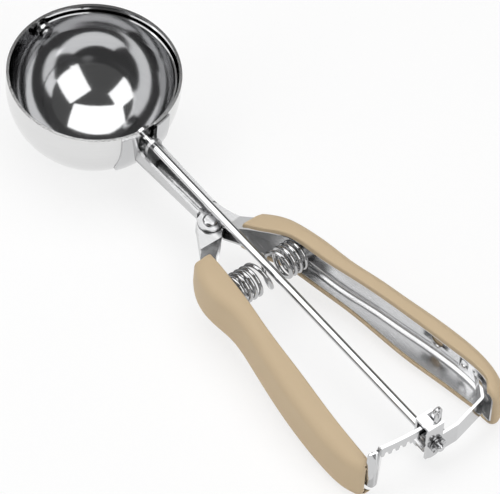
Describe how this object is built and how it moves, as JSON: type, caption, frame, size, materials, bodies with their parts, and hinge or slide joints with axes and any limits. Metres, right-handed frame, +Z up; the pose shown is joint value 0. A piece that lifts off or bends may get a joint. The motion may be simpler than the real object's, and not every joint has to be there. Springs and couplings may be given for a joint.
{
  "type": "lever ice cream scoop",
  "caption": "Squeeze-handle ice cream scoop: round steel bowl swept by a half-ring scraper, turned by a rack and pinion when the sprung lever closes.",
  "frame": {"origin": "on the table below the middle of the scoop's box, as the scoop lies on its bowl and the rear of its handles", "axes": "+X from the bowl towards the handles' rear, +Z up from the table, +Y from the lever towards the fixed handle"},
  "size_m": [0.22, 0.0656, 0.0388],
  "materials": {
    "polished_steel": "polished stainless steel",
    "satin_steel": "plain stainless steel",
    "spring_wire": "bright drawn spring wire",
    "tan_rubber": "matt soft-touch rubber"
  },
  "bodies": {
    "frame": {"bowl": "polished_steel", "saddle": "polished_steel", "fixed_frame": "polished_steel", "fixed_grip": "tan_rubber", "rod_bearing": "polished_steel", "pivot_rivet": "polished_steel", "pivot_washers": "satin_steel", "fixed_spring_peg": "polished_steel", "far_pivot_pin": "polished_steel", "far_pivot_washer": "satin_steel", "rod_guide": "polished_steel", "guide_rivets": "polished_steel", "return_spring": "spring_wire"},
    "lever": {"lever": "polished_steel", "lever_grip": "tan_rubber", "lever_spring_peg": "polished_steel", "rack": "polished_steel", "rack_rivets": "polished_steel"},
    "scraper": {"scraper_blade": "polished_steel", "scraper_rod": "polished_steel", "pinion": "satin_steel", "rear_washer": "satin_steel", "push_nut": "satin_steel"}
  },
  "joints": [
    {"name": "lever_squeeze", "type": "hinge", "parent": "frame", "child": "lever", "pos_m": [-0.01148, -0.00253, 0.01657], "axis": [0.1053, 0, 0.9944], "range_deg": [0, 7.04], "stiffness_Nm_per_rad": 1, "springref_deg": -17.19, "deforming": ["return_spring"]},
    {"name": "scraper_turn", "type": "hinge", "parent": "frame", "child": "scraper", "pos_m": [0.10352, -0.00013, 0.01073], "axis": [-0.9944, 0, 0.1053], "range_deg": [0, 180.01]}
  ],
  "couplings": [
    {"joint": "scraper_turn", "follows": "lever_squeeze", "ratio": 25.556}
  ]
}
